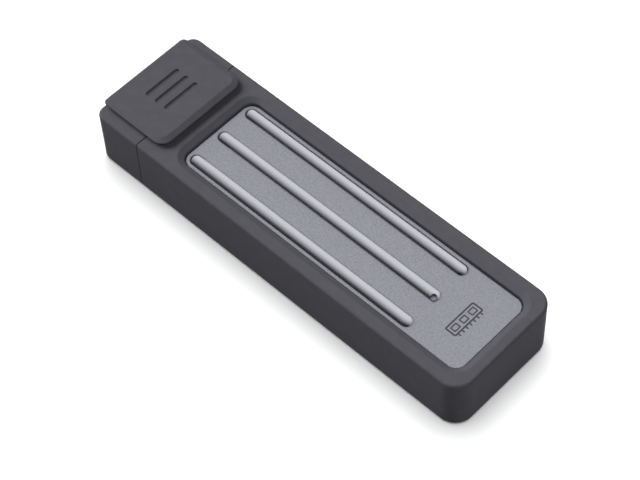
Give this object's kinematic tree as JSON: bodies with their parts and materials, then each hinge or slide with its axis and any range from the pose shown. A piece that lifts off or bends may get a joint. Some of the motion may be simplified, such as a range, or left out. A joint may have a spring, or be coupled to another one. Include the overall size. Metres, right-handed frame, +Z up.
{
  "type": "portable ssd",
  "caption": "Stick-shaped solid state drive in a rubber sleeve, with a ribbed metal cover in a window and a pull-off cap over its plug.",
  "frame": {"origin": "middle of the flat underside of sleeve and cap", "axes": "+Z up from the underside, +X along the stick from the cap end to the closed end, +Y across"},
  "size_m": [0.07, 0.02, 0.011],
  "materials": {
    "sleeve_rubber": "soft matt moulded rubber, dark bluish grey",
    "cover_metal": "fine bead-blasted, clear anodised",
    "clear_plastic": "clear, polished",
    "housing_plastic": "fine moulded texture, black",
    "board_laminate": "solder mask over glass laminate",
    "plug_steel": "drawn stainless sheet",
    "insulator_plastic": "moulded, black",
    "contact_metal": "gold-plated springs",
    "chip_plastic": "moulding compound",
    "inductor_ferrite": "pressed ferrite",
    "crystal_metal": "plated lid",
    "capacitor_ceramic": "fired ceramic",
    "lamp_plastic": "clear resin",
    "thermal_rubber": "soft gap filler",
    "screw_steel": "zinc plated"
  },
  "bodies": {
    "drive": {"sleeve": "sleeve_rubber", "upper_cover": "cover_metal", "light_pipe": "clear_plastic", "lower_housing": "housing_plastic", "front_bezel": "housing_plastic", "circuit_board": "board_laminate", "plug_shell": "plug_steel", "plug_insulator": "insulator_plastic", "plug_contacts": "contact_metal", "plug_latch": "plug_steel", "controller_chip": "chip_plastic", "memory_chip_1": "chip_plastic", "memory_chip_2": "chip_plastic", "power_chip": "chip_plastic", "power_inductor": "inductor_ferrite", "clock_crystal": "crystal_metal", "capacitors": "capacitor_ceramic", "resistors": "chip_plastic", "activity_lamp": "lamp_plastic", "controller_thermal_pad": "thermal_rubber", "memory_thermal_pad": "thermal_rubber", "cover_screws": "screw_steel"},
    "cap": {"cap": "sleeve_rubber"}
  },
  "joints": [
    {"name": "cap_slide", "type": "slide", "parent": "drive", "child": "cap", "axis": [-1, 0, 0], "range_m": [0, 0.025]}
  ]
}
